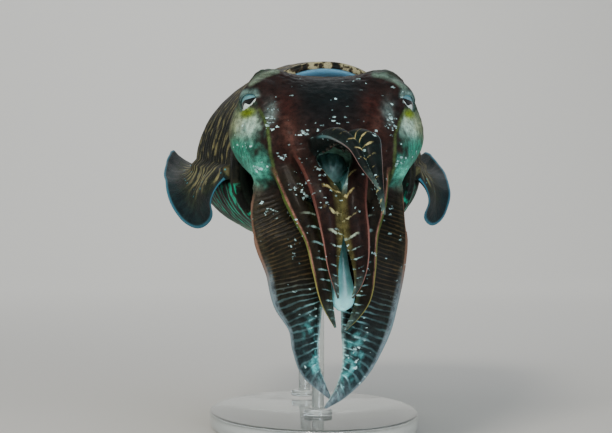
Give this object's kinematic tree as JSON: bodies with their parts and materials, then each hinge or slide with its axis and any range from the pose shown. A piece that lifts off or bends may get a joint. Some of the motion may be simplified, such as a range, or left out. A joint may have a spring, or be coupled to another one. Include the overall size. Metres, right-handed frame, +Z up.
{
  "type": "cuttlefish model",
  "caption": "Life-size still model of a hovering cuttlefish with hanging arms, rippled fins and a mantle on a clear plate-and-rod display stand.",
  "frame": {"origin": "middle of the underside of the stand's base, on the surface that the model stands on", "axes": "+Z up, +Y from the head to the tail along the body, +X towards the animal's left side"},
  "size_m": [0.1492, 0.3099, 0.1812],
  "materials": {
    "skin": "moist skin, dark maroon with pale mottling, satin",
    "fin": "thin olive membrane with a pale blue rim, satin",
    "arm": "moist dark skin with a coloured keel line, satin",
    "blade": "dark finely striated skin with a pale rim, satin",
    "tentacle": "smooth pale blue skin, satin",
    "eye": "silvery eye with a dark slit pupil, polished",
    "mouth": "cream skin, satin",
    "funnel": "pale smooth skin, satin",
    "acrylic": "clear polished acrylic"
  },
  "bodies": {
    "root": {"mantle": "skin", "head": "skin", "fin_right": "fin", "fin_left": "fin", "arm_1_right_base": "arm", "arm_1_right_tip": "arm", "arm_1_left_base": "arm", "arm_1_left_tip": "arm", "arm_2_right_base": "arm", "arm_2_right_tip": "arm", "arm_2_left_base": "arm", "arm_2_left_tip": "arm", "arm_3_right_base": "arm", "arm_3_right_tip": "arm", "arm_3_left_base": "arm", "arm_3_left_tip": "arm", "arm_4_right_base": "blade", "arm_4_right_tip": "blade", "arm_4_left_base": "blade", "arm_4_left_tip": "blade", "tentacle_right_stalk": "tentacle", "tentacle_right_club": "tentacle", "tentacle_left_stalk": "tentacle", "tentacle_left_club": "tentacle", "eye_right": "eye", "eye_left": "eye", "mouth": "mouth", "funnel": "funnel", "stand_base": "acrylic", "stand_rod_front": "acrylic", "stand_rod_rear": "acrylic"}
  },
  "joints": []
}
